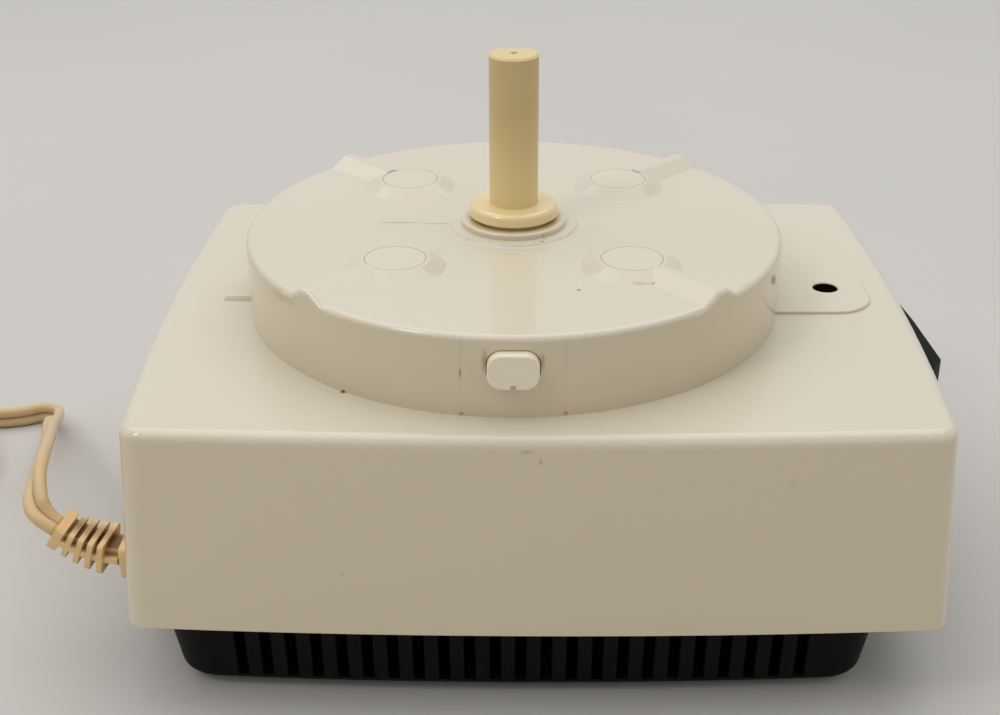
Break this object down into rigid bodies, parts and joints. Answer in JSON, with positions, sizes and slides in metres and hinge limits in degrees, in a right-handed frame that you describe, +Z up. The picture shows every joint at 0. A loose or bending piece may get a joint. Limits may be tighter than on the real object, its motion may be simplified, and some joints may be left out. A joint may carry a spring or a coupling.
{
  "type": "food processor base",
  "caption": "Motor base of a food processor: ivory body, round bowl seat with drive spindle, black slotted pan, rocker switch and flat mains cord.",
  "frame": {"origin": "middle of the footprint of everything but the mains cord, on the floor under the feet", "axes": "+Z up along the drive spindle, +X towards the rocker switch along the longer side, -Y towards the user and the latch button"},
  "size_m": [0.4842, 0.2004, 0.1781],
  "materials": {
    "housing": "aged ivory moulded plastic, satin",
    "plug": "ivory moulded plastic, satin",
    "base": "black moulded plastic, fine texture",
    "rocker": "black moulded plastic, semi-gloss",
    "inner_plastic": "grey nylon",
    "button": "aged cream plastic, satin",
    "sleeve": "yellowed natural nylon",
    "rubber": "black rubber",
    "relief": "tan soft vinyl",
    "cord": "cream vinyl, satin",
    "lead": "pale vinyl",
    "steel": "ground steel",
    "zinc": "zinc plated steel",
    "laminate": "stacked electrical steel",
    "alloy": "die cast",
    "copper": "enamelled copper winding",
    "bronze": "sintered bronze",
    "brass": "pressed brass"
  },
  "bodies": {
    "base": {"top_housing": "housing", "base_pan": "base", "rubber_feet": "rubber", "base_screws": "zinc", "screw_plugs": "plug", "motor_screws": "zinc", "shaft_seal": "rubber", "stator_core": "laminate", "stator_windings": "copper", "upper_bracket": "alloy", "lower_bracket": "alloy", "upper_bearing": "bronze", "lower_bearing": "bronze", "through_bolts": "zinc", "run_capacitor": "inner_plastic", "capacitor_strap": "zinc", "strap_screws": "zinc", "latch_spring": "steel", "latch_guide": "inner_plastic", "interlock_spring": "steel", "interlock_guide": "inner_plastic", "microswitch": "rocker", "switch_housing": "rocker", "switch_terminals": "brass", "strain_relief": "relief", "mains_leads": "lead", "cord": "cord", "cord_coil": "cord", "plug_body": "cord", "plug_blades": "brass"},
    "spindle": {"spindle_sleeve": "sleeve", "motor_shaft": "steel", "rotor_core": "laminate", "cooling_fan": "inner_plastic"},
    "rocker": {"switch_rocker": "rocker"},
    "button": {"latch_button": "button"},
    "plunger": {"interlock_plunger": "rocker"},
    "lever": {"microswitch_lever": "brass"}
  },
  "joints": [
    {"name": "spindle_spin", "type": "hinge", "parent": "base", "child": "spindle", "pos_m": [-0.00871, 0.0043, 0], "axis": [0, 0, 1], "continuous": true},
    {"name": "switch_rock", "type": "hinge", "parent": "base", "child": "rocker", "pos_m": [0.11939, 0, 0.075], "axis": [0, 0, 1], "range_deg": [-5, 5]},
    {"name": "latch_press", "type": "slide", "parent": "base", "child": "button", "axis": [0, 1, 0], "range_m": [0, 0.0032], "stiffness_N_per_m": 800, "springref_m": -0.002, "deforming": ["latch_spring"]},
    {"name": "interlock_press", "type": "slide", "parent": "base", "child": "plunger", "axis": [0, 0, -1], "range_m": [0, 0.004], "stiffness_N_per_m": 700, "springref_m": -0.002, "deforming": ["interlock_spring"]},
    {"name": "lever_swing", "type": "hinge", "parent": "base", "child": "lever", "pos_m": [0.08379, 0.008, 0.064], "axis": [0, 1, 0], "range_deg": [0, 20.6]}
  ],
  "couplings": [
    {"joint": "lever_swing", "follows": "interlock_press", "rad_per_m": 70}
  ]
}
